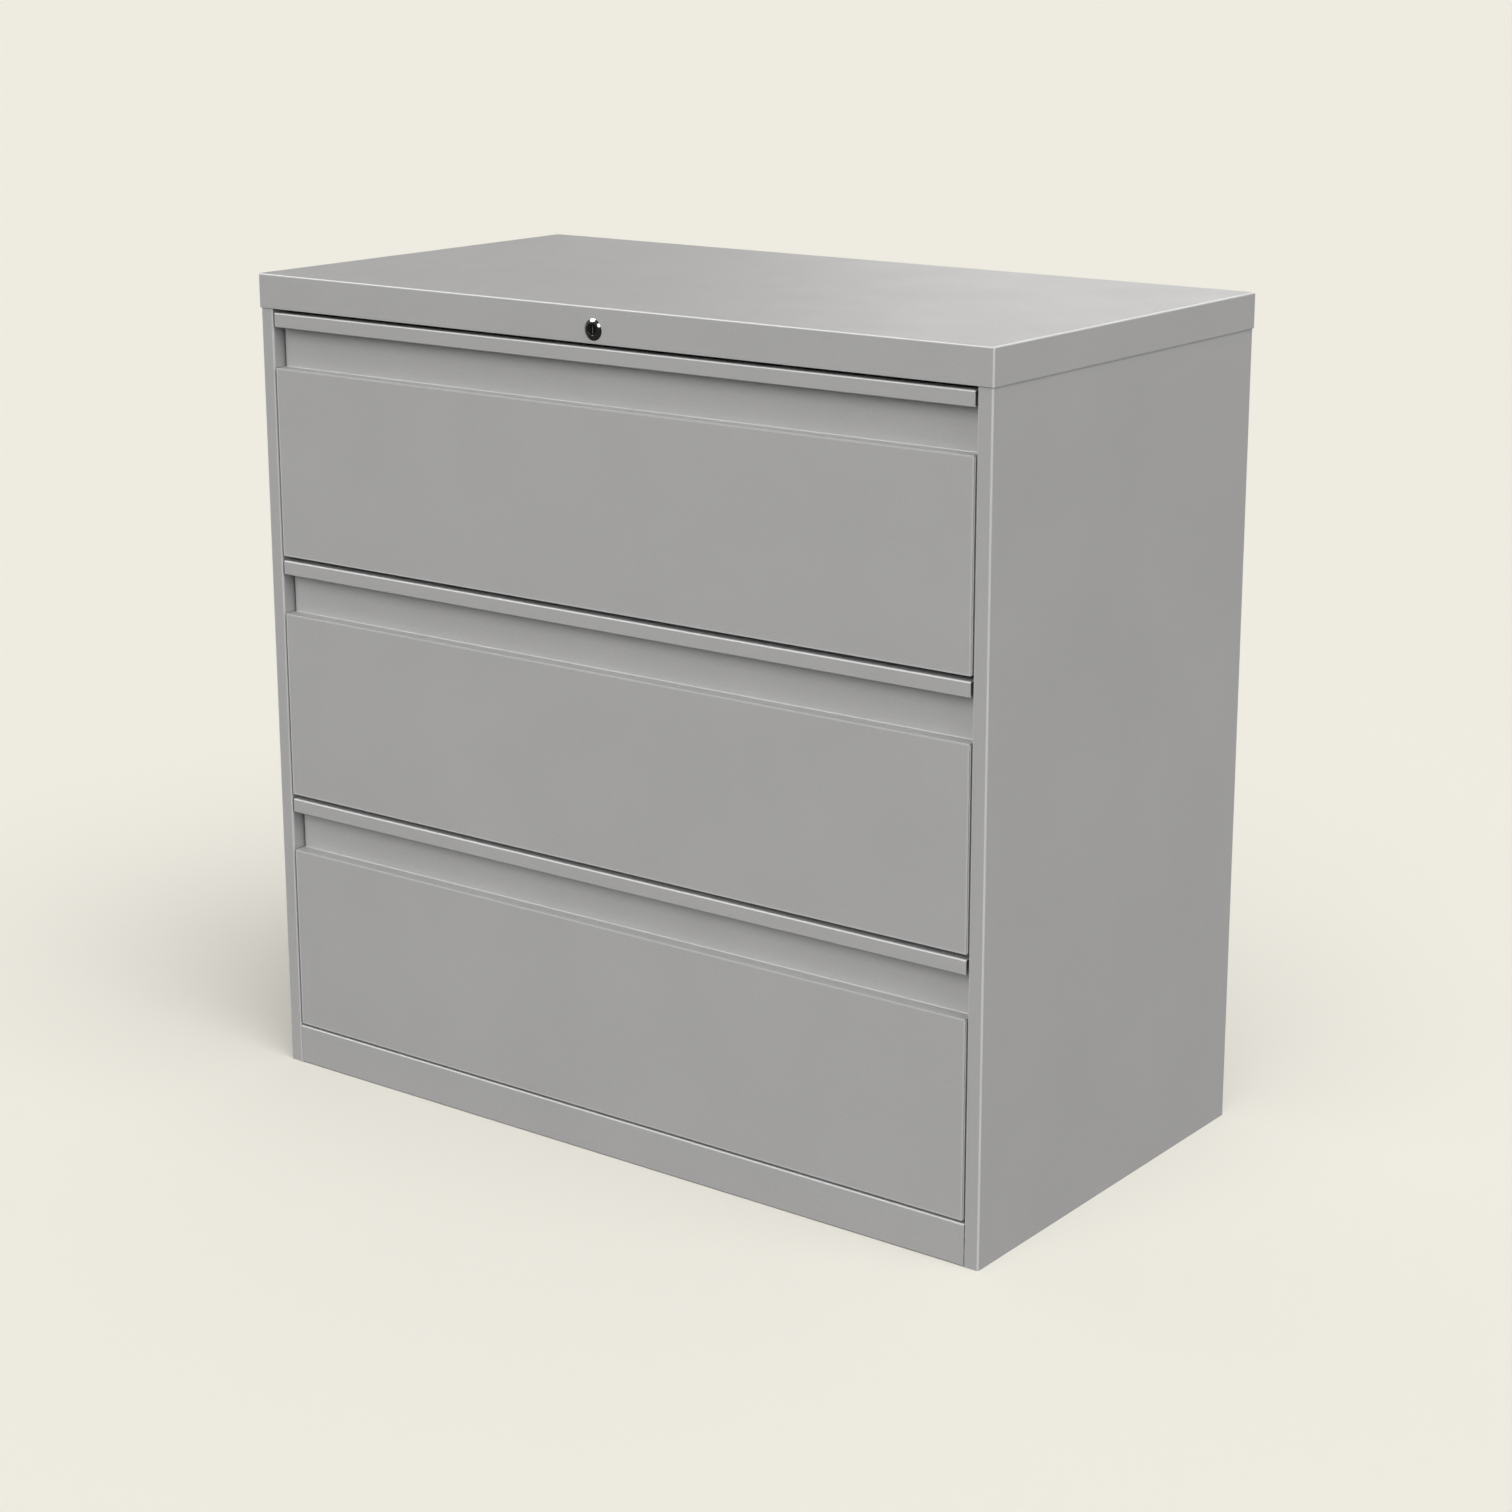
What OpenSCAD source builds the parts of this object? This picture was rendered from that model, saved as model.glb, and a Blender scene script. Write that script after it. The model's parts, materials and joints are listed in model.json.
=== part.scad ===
// Three-drawer lateral filing cabinet in folded and painted sheet steel.
// Millimetres, +Z up, drawers facing -Y.
// The origin is on the floor, under the middle of the cabinet.

/* [Case] */
// Overall width, across the top panel
cabinet_w = 1066; // [760:1:1300]
// Depth of the top panel, front skirt to rear skirt
cabinet_d = 560; // [480:1:700]
// Height of the base rail above the floor
base_h = 50.5; // [44:0.5:90]
// Sheet thickness of the case
case_sheet = 1.2; // [0.8:0.1:1.6]
// Inside radius of every sheet bend
bend_r = 0.8; // [0.4:0.1:1.2]
// Width of the front stile that is folded from each side panel
stile_w = 19; // [17:0.5:26]
// Depth of the flange that returns behind the stile
stile_return = 28; // [25:1:40]
// How far the top panel stands proud of the case below it
top_proud = 1.5; // [1.5:0.1:2]
// Height of the skirt round the top panel
skirt_h = 42; // [42:1:60]
// Width of the flange along the back edge of each side panel
rear_flange = 22; // [18:1:30]
// Seam between the base rail and each stile
base_seam = 0.5; // [0.3:0.1:2]

/* [Drawer fronts] */
// Height of the flat face of a drawer
face_h = 235; // [195:1:300]
// Height of the finger recess above the face
recess_h = 50; // [40:1:70]
// Height of the pull bar above the recess
bar_h = 18; // [14:0.5:26]
// Depth of the finger recess behind the face
recess_d = 17.5; // [14:0.5:22]
// Rise of the ledge from the face to the back of the recess
ledge_rise = 0; // [0:0.5:6]
// Gap between the lower edge of a face and the next pull bar
face_gap = 6; // [4:0.5:10]
// Gap between the top panel's skirt and the first pull bar
top_gap = 5; // [2.5:0.5:8]
// Gap between the base rail and the lowest face
base_gap = 3.5; // [2.5:0.5:10]
// Gap between a drawer front and the stile
side_gap = 3; // [2:0.5:5]
// Hem turned back under the pull bar
bar_hem = 6; // [5:0.5:10]

/* [Drawer boxes] */
// Sheet thickness of the drawer tray and its liner
drawer_sheet = 1; // [0.8:0.1:1.5]
// Height of the tray's walls
tray_h = 240; // [180:1:260]
// Height of the tray's floor above the drawer's lower edge
tray_lift = 14; // [10:1:24]
// Room between the tray and the back panel
back_room = 53; // [40:1:120]
// Height of the flat hem along the top of each tray side
tray_hem = 10; // [5:1:14]
// Spacing of the two hanging-folder rails
hang_span = 311; // [280:1:330]
// Height of a hanging-folder rail
hang_rail_h = 20; // [12:1:30]
// Thickness of a hanging-folder rail
hang_rail_t = 3; // [2:0.5:5]

/* [Slides] */
// Thickness of a three-member slide, upright to tray
slide_t = 19; // [17:0.5:24]
// Height of the outer member
slide_h = 45; // [44:1:56]
// Sheet thickness of the slide members
slide_sheet = 1.5; // [1.2:0.1:2]
// Height of the ball race between two members
race_gap = 4; // [3:0.5:5]
// Height of the slides' centre line above the drawer's lower edge
slide_lift = 70; // [50:1:110]

/* [Lock] */
// Distance from the top of the cabinet to the lock's centre
lock_drop = 26; // [24:0.5:28]
// Diameter of the bezel round the lock
bezel_d = 25; // [23:0.5:28]
// How far the bezel stands out of the top panel's skirt
bezel_proud = 2.5; // [1.5:0.5:4]
// Diameter of the lock's barrel
barrel_d = 19; // [16:0.5:20]
// Length of the barrel behind the skirt
barrel_len = 25; // [20:1:28]
// Diameter of the turning plug
plug_d = 12.8; // [10:0.2:14]
// Distance from the lock's centre to the cam's drive pin
cam_throw = 11; // [9.5:0.5:12]
// Diameter of the drive pins
pin_d = 4; // [3:0.5:5]

/* [Levelling glides] */
// Diameter of a glide's pad
pad_d = 32; // [24:1:45]
// Thickness of a glide's pad
pad_h = 8; // [5:1:12]
// Diameter of a glide's stem
stem_d = 10; // [8:1:14]

/* [Back] */
// Distance between the two wall-anchor holes
anchor_span = 800; // [400:10:900]
// Diameter of a wall-anchor hole
anchor_d = 9; // [6:0.5:12]
// Distance from the top of the cabinet to the wall-anchor holes
anchor_drop = 75; // [60:1:120]
// Diameter of the case screws' shanks
screw_d = 4; // [3:0.5:5]
// Number of case screws up each side of the back
screws_per_side = 5; // [3:1:8]

/* [Hidden] */
LEVELS = ["bottom", "middle", "top"];
SIDES = ["left", "right"];
CASE_NODES = [
    "top_panel", "left_side_panel", "right_side_panel", "back_panel", "bottom_panel",
    "base_rail", "rear_base_rail", "top_front_rail",
    "left_front_upright", "right_front_upright", "left_rear_upright", "right_rear_upright",
    "glide_brackets", "counterweight", "case_screws"
];
LOCK_NODES = [
    "lock_housing", "lock_nut", "lock_guides", "lock_plug", "lock_cam", "lock_link", "lock_bar", "lock_lugs"
];
GLIDE_NODES = ["left_front_glide", "right_front_glide", "left_rear_glide", "right_rear_glide"];
DRAWER_NODES = [
    "drawer_front", "drawer_liner", "tray_floor", "left_tray_side", "right_tray_side", "tray_back",
    "hang_rails", "drawer_catch", "outer_slides", "centre_slides", "inner_slides"
];

// Finishes
paint = [0.66, 0.66, 0.65];
inner_paint = [0.58, 0.58, 0.57];
zinc = [0.72, 0.73, 0.75];
chrome = [0.85, 0.85, 0.87];
dark_steel = [0.3, 0.3, 0.32];
black_plastic = [0.1, 0.1, 0.1];

// Clearances
running = 0.05;        // radial, between a pin or plug and its bore
air = 0.5;             // between neighbours that don't touch
slot_play = 0.6;       // each side of a pin in its slot
past = 1;              // how far a cut or a joined solid runs past a face
arc_steps = 5;         // flats along a sheet bend
bend_room = bend_r + 0.2;  // keeps the edge of a flat sheet out of its neighbour's bend

// Main planes of the case
body_half = cabinet_w / 2 - top_proud;
front_y = -(cabinet_d - bezel_proud) / 2;
back_y = front_y + cabinet_d;
face_y = front_y + top_proud;
rear_y = back_y - top_proud;
drawer_pitch = face_gap + face_h + recess_h + bar_h;
lowest_cell_z = base_h + base_gap - face_gap;
drawers_top_z = lowest_cell_z + len(LEVELS) * drawer_pitch;
skirt_z = drawers_top_z + top_gap;
cabinet_h = skirt_z + skirt_h;
under_top_z = cabinet_h - case_sheet;
panel_top_z = under_top_z - bend_r - air;
opening_half = body_half - stile_w;
return_end_y = face_y + stile_return;
wall_inner_x = body_half - case_sheet;

// Base and front rails
base_flange = stile_return + 8;
floor_flange = 28;
floor_panel_z = base_h - 2 * case_sheet;
rail_setback = 0.4;
front_rail_web_y = front_y + 10;
front_rail_lip = 12;
front_rail_reach = 8;

// Drawer fronts and boxes
front_half = opening_half - side_gap;
front_depth = recess_d + case_sheet + air + 2 * drawer_sheet;
front_return = recess_d - air;
upright_x = opening_half - 1;
box_half = upright_x - slide_t;
tray_y0 = face_y + front_depth;
tray_y1 = rear_y - 2 * case_sheet - back_room;
hang_inset = 40;
hang_rail_drop = 2;
catch_foot = 30;
catch_foot_t = 2;

// Slides. Each member starts one step in front of the member outside it.
slide_y0 = tray_y0 + 14;
slide_y1 = tray_y1;
slide_step = 3;
centre_half_h = slide_h / 2 - slide_sheet - race_gap;
inner_half_h = centre_half_h - slide_sheet - race_gap;
centre_offset = 3;
centre_reach = slide_t - 4;
inner_reach = 7;
outer_reach = slide_t - 5;

// Uprights
upright_w = 40;
upright_sheet = 1.5;
front_upright_y = return_end_y + 11;
rear_upright_y = slide_y1 - upright_w - 4;
upright_z0 = base_h - case_sheet;

// Lock train. The cam's pin drives the link sideways, and the link's sloped slot lifts the bar.
lock_z = cabinet_h - lock_drop;
plug_recess = 0.4;
keyway_w = 2.2;
keyway_h = 8.4;
keyway_depth = 9;
nut_t = 4;
nut_d = 27;
cam_turn = 90;
cam_hub_r = 7.5;
cam_arm_w = 7;
cam_tail_r = 4;
lock_travel = 2 * cam_throw * sin(cam_turn / 2);
cam_t = 3;
link_t = 2;
bar_t = 3;
cam_y0 = front_y + barrel_len + air;
link_y0 = max(cam_y0 + cam_t + 1, return_end_y + air);
bar_y0 = link_y0 + link_t + 1.5;
pin_r = pin_d / 2;
slot_r = pin_r + slot_play;
slot_over = 0.5;
link_z0 = lock_z + 4;
link_z1 = lock_z + cam_throw + pin_r + 4.5;
lift_pin_x = opening_half - 8.5;
lift_pin_z = link_z1 - lock_travel - 6.5;
lift_tab = 5;
link_end_margin = 4;
link_x0 = -lock_travel - 8;
bar_x0 = opening_half + 2.5;
bar_x1 = wall_inner_x - 3;
bar_z0 = base_h + 20;
bar_z1 = lift_pin_z + 8.5;
lug_h = 8;
lug_gap = 1.5;
lug_reach = 12;
catch_t = 3;
catch_h = 25;
catch_lift = 150;
catch_x1 = opening_half - 4.5;
catch_y0 = bar_y0 + bar_t + 1.2;
guide_wall = 2;
guide_h = 12;
guide_lift = 90;
link_guide_x = [120, 380];

// Glides and ballast
glide_inset_x = 46;
glide_inset_y = 60;
bracket_t = 4;
bracket_z = 20;
bracket_w = 56;
stem_top = 41;
ballast_w = 700;
ballast_d = 80;
ballast_t = 20;
screw_head_r = 4;
screw_head_t = top_proud - air;
screw_len = 6;
screw_margin = 60;

// Height of a drawer cell's lower edge. k is 0 for the bottom drawer.
function level_z(k) = lowest_cell_z + k * drawer_pitch;
function face_z0(k) = level_z(k) + face_gap;
function face_z1(k) = face_z0(k) + face_h;
function bar_top_z(k) = level_z(k) + drawer_pitch;
function tray_z0(k) = face_z0(k) + tray_lift;
function slide_z(k) = face_z0(k) + slide_lift;
function catch_z(k) = face_z0(k) + catch_lift;
function screw_z(i) =
    base_h + screw_margin + i * (panel_top_z - base_h - 2 * screw_margin) / (screws_per_side - 1);

// ---- Folded sheet ----

function unit(v) = v / norm(v);
function left_of(v) = [-v[1], v[0]];
function turn(a, b) = a[0] * b[1] - a[1] * b[0];

// One face of a bend: points on an arc from normal n0 to normal n1 about centre c.
function bend_arc(c, radius, n0, n1) = [
    for (i = [0 : arc_steps])
        let (n = unit((1 - i / arc_steps) * n0 + i / arc_steps * n1))
        c + radius * n
];

// Both faces of the bend at path[i]. The sheet lies on the left of the path.
function bend_at(path, i, t) =
    let (
        d0 = unit(path[i] - path[i - 1]),
        d1 = unit(path[i + 1] - path[i]),
        n0 = left_of(d0),
        n1 = left_of(d1),
        s = turn(d0, d1) > 0 ? 1 : -1,
        near = s > 0 ? bend_r + t : bend_r,
        far = s > 0 ? bend_r : bend_r + t,
        c = path[i] + s * near * (n0 + n1) / (1 + n0 * n1)
    )
    [bend_arc(c, -s * near, n0, n1), bend_arc(c, -s * far, n0, n1)];

// Outline of a sheet of thickness t that follows path, with the sheet on the left of the path.
function sheet_outline(path, t) =
    let (
        last = len(path) - 1,
        n_first = left_of(unit(path[1] - path[0])),
        n_last = left_of(unit(path[last] - path[last - 1])),
        bends = [for (i = [1 : last - 1]) bend_at(path, i, t)]
    )
    concat(
        [path[0]],
        [for (b = bends) for (p = b[0]) p],
        [path[last], path[last] + t * n_last],
        [for (i = [len(bends) - 1 : -1 : 0]) for (j = [arc_steps : -1 : 0]) bends[i][1][j]],
        [path[0] + t * n_first]
    );

// Extrudes an outline of (y, z) points along X, centred on the middle plane.
module along_x(width) {
    translate([-width / 2, 0, 0])
        rotate([90, 0, 90])
        linear_extrude(width)
        children();
}

// Extrudes an outline of (x, z) points from y0 to y1.
module along_y(y0, y1) {
    translate([0, y1, 0])
        rotate([90, 0, 0])
        linear_extrude(y1 - y0)
        children();
}

// A box between two opposite corners.
module block(low, high) {
    translate(low)
        cube(high - low);
}

// A round bar along Y.
module rod_y(radius, x, z, y0, y1) {
    translate([x, y1, z])
        rotate([90, 0, 0])
        cylinder(r = radius, h = y1 - y0, $fn = 64);
}

// A round bar along Z.
module rod_z(radius, x, y, z0, z1) {
    translate([x, y, z0])
        cylinder(r = radius, h = z1 - z0, $fn = 64);
}

module on_side(side) {
    if (side == "left") mirror([1, 0, 0]) children();
    else children();
}

// ---- Case ----

// Section of a box with rounded top corners, from z0 to z1.
function lid_section(low, high, z0, z1, r) = concat(
    [[low, z0]],
    [for (i = [0 : arc_steps]) [low + r, z1 - r] + r * [-cos(90 * i / arc_steps), sin(90 * i / arc_steps)]],
    [for (i = [0 : arc_steps]) [high - r, z1 - r] + r * [sin(90 * i / arc_steps), cos(90 * i / arc_steps)]],
    [[high, z0]]
);

module lid_form(inset, z0, z1, r) {
    intersection() {
        along_y(front_y + inset, back_y - inset)
            polygon(lid_section(-cabinet_w / 2 + inset, cabinet_w / 2 - inset, z0, z1, r));
        along_x(cabinet_w - 2 * inset)
            polygon(lid_section(front_y + inset, back_y - inset, z0, z1, r));
    }
}

module top_panel() {
    color(paint)
        difference() {
            lid_form(0, skirt_z, cabinet_h, bend_r + case_sheet);
            lid_form(case_sheet, skirt_z - past, under_top_z, bend_r);
            rod_y(barrel_d / 2 + running, 0, lock_z, front_y - past, front_y + case_sheet + past);
        }
}

module screw_holes(y0, y1) {
    for (i = [0 : screws_per_side - 1])
        rod_y(screw_d / 2, body_half - rear_flange / 2, screw_z(i), y0, y1);
}

module side_panel(side) {
    path = [
        [opening_half, return_end_y],
        [opening_half, face_y],
        [body_half, face_y],
        [body_half, rear_y],
        [body_half - rear_flange, rear_y]
    ];
    color(paint)
        on_side(side)
        difference() {
            linear_extrude(panel_top_z)
                polygon(sheet_outline(path, case_sheet));
            screw_holes(rear_y - 2 * case_sheet, rear_y + past);
        }
}

module back_panel() {
    half = wall_inner_x - bend_room;
    color(paint)
        difference() {
            block([-half, rear_y - 2 * case_sheet, base_h + air], [half, rear_y - case_sheet, panel_top_z]);
            for (side = SIDES)
                on_side(side)
                screw_holes(rear_y - 3 * case_sheet, rear_y);
            for (x = [-1, 1] * anchor_span / 2)
                rod_y(anchor_d / 2, x, cabinet_h - anchor_drop, rear_y - 3 * case_sheet, rear_y);
        }
}

module bottom_panel() {
    half = wall_inner_x - air;
    color(inner_paint)
        block(
            [-half, return_end_y + air, floor_panel_z],
            [half, rear_y - 2 * case_sheet - bend_room, floor_panel_z + case_sheet]
        );
}

// Section of a base rail: top flange, face and floor flange, with the face at y and the flanges towards +Y.
function rail_path(y) = [
    [y + base_flange, base_h],
    [y, base_h],
    [y, 0],
    [y + floor_flange, 0]
];

module base_rail() {
    color(paint)
        along_x(2 * (opening_half - base_seam))
        polygon(sheet_outline(rail_path(face_y + rail_setback), case_sheet));
}

module rear_base_rail() {
    color(paint)
        mirror([0, 1, 0])
        along_x(2 * (wall_inner_x - bend_room))
        polygon(sheet_outline(rail_path(-rear_y + case_sheet), case_sheet));
}

module top_front_rail() {
    web_y = front_rail_web_y;
    path = [
        [web_y + front_rail_lip, under_top_z],
        [web_y, under_top_z],
        [web_y, skirt_z + case_sheet],
        [return_end_y + front_rail_reach, skirt_z + case_sheet]
    ];
    color(inner_paint)
        difference() {
            along_x(2 * (opening_half - air))
                polygon(sheet_outline(path, case_sheet));
            rod_y(barrel_d / 2 + running, 0, lock_z, web_y - past, web_y + case_sheet + past);
        }
}

module upright(side, y0) {
    path = [
        [wall_inner_x, y0 + upright_w],
        [upright_x, y0 + upright_w],
        [upright_x, y0],
        [wall_inner_x, y0]
    ];
    color(inner_paint)
        on_side(side)
        translate([0, 0, upright_z0])
        linear_extrude(under_top_z - upright_z0)
        polygon(sheet_outline(path, upright_sheet));
}

module case_screws() {
    color(zinc)
        for (side = SIDES)
            on_side(side)
            for (i = [0 : screws_per_side - 1]) {
                x = body_half - rear_flange / 2;
                rod_y(screw_d / 2, x, screw_z(i), rear_y - screw_len, rear_y);
                rod_y(screw_head_r, x, screw_z(i), rear_y, rear_y + screw_head_t);
            }
}

module counterweight() {
    y1 = rear_y - case_sheet - base_flange - air;
    color(dark_steel)
        block([-ballast_w / 2, y1 - ballast_d, floor_panel_z - ballast_t], [ballast_w / 2, y1, floor_panel_z]);
}

// ---- Levelling glides ----

glide_x = wall_inner_x - glide_inset_x;
front_glide_y = front_y + glide_inset_y;
rear_glide_y = back_y - glide_inset_y;

module glide_bracket(side, y) {
    on_side(side)
        difference() {
            block(
                [glide_x - bracket_w / 2, y - bracket_w / 2, bracket_z],
                [wall_inner_x, y + bracket_w / 2, bracket_z + bracket_t]
            );
            rod_z(stem_d / 2 + running, glide_x, y, bracket_z - past, bracket_z + bracket_t + past);
        }
}

module glide_brackets() {
    color(zinc)
        for (side = SIDES)
            for (y = [front_glide_y, rear_glide_y])
                glide_bracket(side, y);
}

module glide(side, y) {
    color(black_plastic)
        on_side(side) {
            rod_z(pad_d / 2, glide_x, y, 0, pad_h);
            rod_z(stem_d / 2, glide_x, y, pad_h, stem_top);
        }
}

// ---- Drawers ----

// Path of the folded front, from the hem under the pull bar to the flange under the face.
function front_path(k) = [
    [face_y + bar_hem, bar_top_z(k) - bar_h + case_sheet],
    [face_y + case_sheet, bar_top_z(k) - bar_h + case_sheet],
    [face_y + case_sheet, bar_top_z(k) - case_sheet],
    [face_y + recess_d, bar_top_z(k) - case_sheet],
    [face_y + recess_d, face_z1(k) + ledge_rise],
    [face_y, face_z1(k)],
    [face_y, face_z0(k)],
    [face_y + front_return, face_z0(k)]
];

module drawer_front(k) {
    inset = case_sheet / 2;
    cheek = [
        [face_y + inset, face_z0(k) + inset],
        [face_y + front_return, face_z0(k) + inset],
        [face_y + front_return, face_z1(k) + ledge_rise - case_sheet],
        [face_y + inset, face_z1(k) - inset]
    ];
    color(paint)
        union() {
            along_x(2 * front_half)
                polygon(sheet_outline(front_path(k), case_sheet));
            for (side = SIDES)
                on_side(side)
                translate([front_half - case_sheet / 2, 0, 0])
                along_x(case_sheet)
                polygon(cheek);
        }
}

module drawer_liner(k) {
    half = front_half - case_sheet - air;
    y1 = tray_y0;
    z0 = face_z0(k) + case_sheet + air;
    z1 = face_z1(k);
    flange_y = face_y + case_sheet + air;
    color(inner_paint)
        union() {
            block([-half, y1 - drawer_sheet, z0], [half, y1, bar_top_z(k) - bar_h / 2]);
            block([-half, flange_y, z0], [half, y1, z0 + drawer_sheet]);
            for (side = SIDES)
                on_side(side)
                block([half - drawer_sheet, flange_y, z0], [half, y1, z1 - case_sheet - air]);
        }
}

// The tray is four welded sheets: a floor and a back between two sides.
module tray_floor(k) {
    half = box_half - drawer_sheet;
    color(inner_paint)
        block([-half, tray_y0, tray_z0(k)], [half, tray_y1 - drawer_sheet, tray_z0(k) + drawer_sheet]);
}

module tray_side(k, side) {
    z0 = tray_z0(k);
    z1 = z0 + tray_h;
    inner_x = box_half - drawer_sheet;
    color(inner_paint)
        on_side(side)
        union() {
            block([inner_x, tray_y0, z0], [box_half, tray_y1, z1]);
            block([inner_x - drawer_sheet, tray_y0, z1 - tray_hem], [box_half, tray_y1, z1]);
        }
}

module tray_back(k) {
    half = box_half - drawer_sheet;
    color(inner_paint)
        block(
            [-half, tray_y1 - drawer_sheet, tray_z0(k)],
            [half, tray_y1, tray_z0(k) + tray_h - tray_hem]
        );
}

module hang_rails(k) {
    half = box_half - 2 * drawer_sheet;
    z1 = tray_z0(k) + tray_h - hang_rail_drop;
    color(zinc)
        for (y = [tray_y0 + hang_inset, tray_y0 + hang_inset + hang_span])
            block([-half, y - hang_rail_t / 2, z1 - hang_rail_h], [half, y + hang_rail_t / 2, z1]);
}

// Plate on the tray's right wall that the lock bar's lug blocks.
module drawer_catch(k) {
    z0 = catch_z(k);
    color(zinc)
        union() {
            block([box_half, catch_y0, z0], [box_half + catch_foot_t, catch_y0 + catch_foot, z0 + catch_h]);
            block([box_half, catch_y0, z0], [catch_x1, catch_y0 + catch_t, z0 + catch_h]);
        }
}

// ---- Slides: each is three C-shaped members, one inside the other ----

// Section of a member whose web is at offset u from the upright and whose flanges reach to u1.
module slide_member(k, side, u0, u1, half_h, y0, y1) {
    x0 = upright_x - u0;
    x1 = upright_x - u1;
    z = slide_z(k);
    path = u1 > u0
        ? [[x1, z + half_h], [x0, z + half_h], [x0, z - half_h], [x1, z - half_h]]
        : [[x1, z - half_h], [x0, z - half_h], [x0, z + half_h], [x1, z + half_h]];
    flipped = [for (i = [len(path) - 1 : -1 : 0]) path[i]];
    color(zinc)
        on_side(side)
        along_y(y0, y1)
        polygon(sheet_outline(flipped, slide_sheet));
}

module outer_slides(k) {
    for (side = SIDES)
        slide_member(k, side, 0, outer_reach, slide_h / 2, slide_y0, slide_y1);
}

module centre_slides(k) {
    dy = slide_step;
    for (side = SIDES)
        slide_member(k, side, centre_offset, centre_reach, centre_half_h, slide_y0 - dy, slide_y1 - dy);
}

module inner_slides(k) {
    dy = 2 * slide_step;
    for (side = SIDES)
        slide_member(k, side, slide_t, inner_reach, inner_half_h, slide_y0 - dy, slide_y1 - dy);
}

// ---- Lock ----

module lock_housing() {
    color(chrome)
        difference() {
            union() {
                rod_y(bezel_d / 2, 0, lock_z, front_y - bezel_proud, front_y);
                rod_y(barrel_d / 2, 0, lock_z, front_y, front_y + barrel_len);
            }
            rod_y(plug_d / 2 + running, 0, lock_z, front_y - bezel_proud - past, front_y + barrel_len + past);
        }
}

module lock_nut() {
    color(zinc)
        difference() {
            translate([0, front_y + case_sheet + nut_t, lock_z])
                rotate([90, 0, 0])
                cylinder(d = nut_d, h = nut_t, $fn = 6);
            rod_y(barrel_d / 2, 0, lock_z, front_y, front_y + case_sheet + nut_t + past);
        }
}

module lock_plug() {
    face = front_y - bezel_proud + plug_recess;
    color(dark_steel)
        difference() {
            union() {
                rod_y(plug_d / 2, 0, lock_z, face, cam_y0);
                rod_y(cam_tail_r, 0, lock_z, cam_y0, cam_y0 + cam_t);
            }
            block(
                [-keyway_w / 2, face - past, lock_z - keyway_h / 2],
                [keyway_w / 2, face + keyway_depth, lock_z + keyway_h / 2]
            );
        }
}

// The cam points up and to the left when unlocked, and turns 90 degrees to the right.
module lock_cam() {
    color(zinc)
        translate([0, 0, lock_z])
        rotate([0, -cam_turn / 2, 0])
        difference() {
            union() {
                rod_y(cam_hub_r, 0, 0, cam_y0, cam_y0 + cam_t);
                block([-cam_arm_w / 2, cam_y0, 0], [cam_arm_w / 2, cam_y0 + cam_t, cam_throw]);
                rod_y(cam_arm_w / 2, 0, cam_throw, cam_y0, cam_y0 + cam_t);
                rod_y(pin_r, 0, cam_throw, cam_y0 + cam_t / 2, link_y0 + link_t + past);
            }
            rod_y(cam_tail_r, 0, 0, cam_y0 - past, cam_y0 + cam_t + past);
        }
}

// Outline of a straight slot from point a to point b, with round ends of radius r.
module slot_2d(a, b, r) {
    d = unit(b - a);
    n = left_of(d);
    points = concat(
        [for (i = [0 : 16]) let (w = 180 * i / 16) b + r * (cos(w) * -n + sin(w) * d)],
        [for (i = [0 : 16]) let (w = 180 * i / 16) a + r * (cos(w) * n - sin(w) * d)]
    );
    polygon(points);
}

module lock_link() {
    drive_x = -lock_travel / 2;
    end_x0 = lift_pin_x - lock_travel - slot_r - link_end_margin;
    end_x1 = lift_pin_x + slot_r + link_end_margin - 1;
    end_z0 = lift_pin_z - slot_r - link_end_margin;
    end_z1 = lift_pin_z + lock_travel + slot_r + link_end_margin;
    color(zinc)
        along_y(link_y0, link_y0 + link_t)
        difference() {
            union() {
                translate([link_x0, link_z0])
                    square([end_x1 - link_x0, link_z1 - link_z0]);
                translate([end_x0, end_z0])
                    square([end_x1 - end_x0, end_z1 - end_z0]);
            }
            slot_2d(
                [drive_x, lock_z + cam_throw * cos(cam_turn / 2) - slot_over],
                [drive_x, lock_z + cam_throw + slot_over],
                slot_r
            );
            slot_2d(
                [lift_pin_x, lift_pin_z],
                [lift_pin_x - lock_travel, lift_pin_z + lock_travel],
                slot_r
            );
        }
}

module lock_bar() {
    color(zinc)
        block([bar_x0, bar_y0, bar_z0], [bar_x1, bar_y0 + bar_t, bar_z1]);
}

// Lugs welded to the lock bar's inner edge: one for each drawer, and one with the pin that lifts the bar.
module lock_lugs() {
    color(zinc) {
        for (k = [0 : len(LEVELS) - 1])
            block(
                [bar_x0 - lug_reach, bar_y0, catch_z(k) - lug_gap - lug_h],
                [bar_x0, bar_y0 + bar_t, catch_z(k) - lug_gap]
            );
        union() {
            block(
                [lift_pin_x - lift_tab, bar_y0, lift_pin_z - lift_tab - past],
                [bar_x0, bar_y0 + bar_t, bar_z1]
            );
            rod_y(pin_r, lift_pin_x, lift_pin_z, link_y0 - past, bar_y0 + bar_t / 2);
        }
    }
}

// A guide on the right wall that the lock bar slides up and down in.
module bar_guide(z0) {
    z1 = z0 + guide_h;
    difference() {
        block(
            [bar_x0 - air - guide_wall, bar_y0 - air - guide_wall, z0],
            [wall_inner_x, front_upright_y, z1]
        );
        block(
            [bar_x0 - air, bar_y0 - air, z0 - past],
            [bar_x1 + air, bar_y0 + bar_t + air, z1 + past]
        );
    }
}

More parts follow.
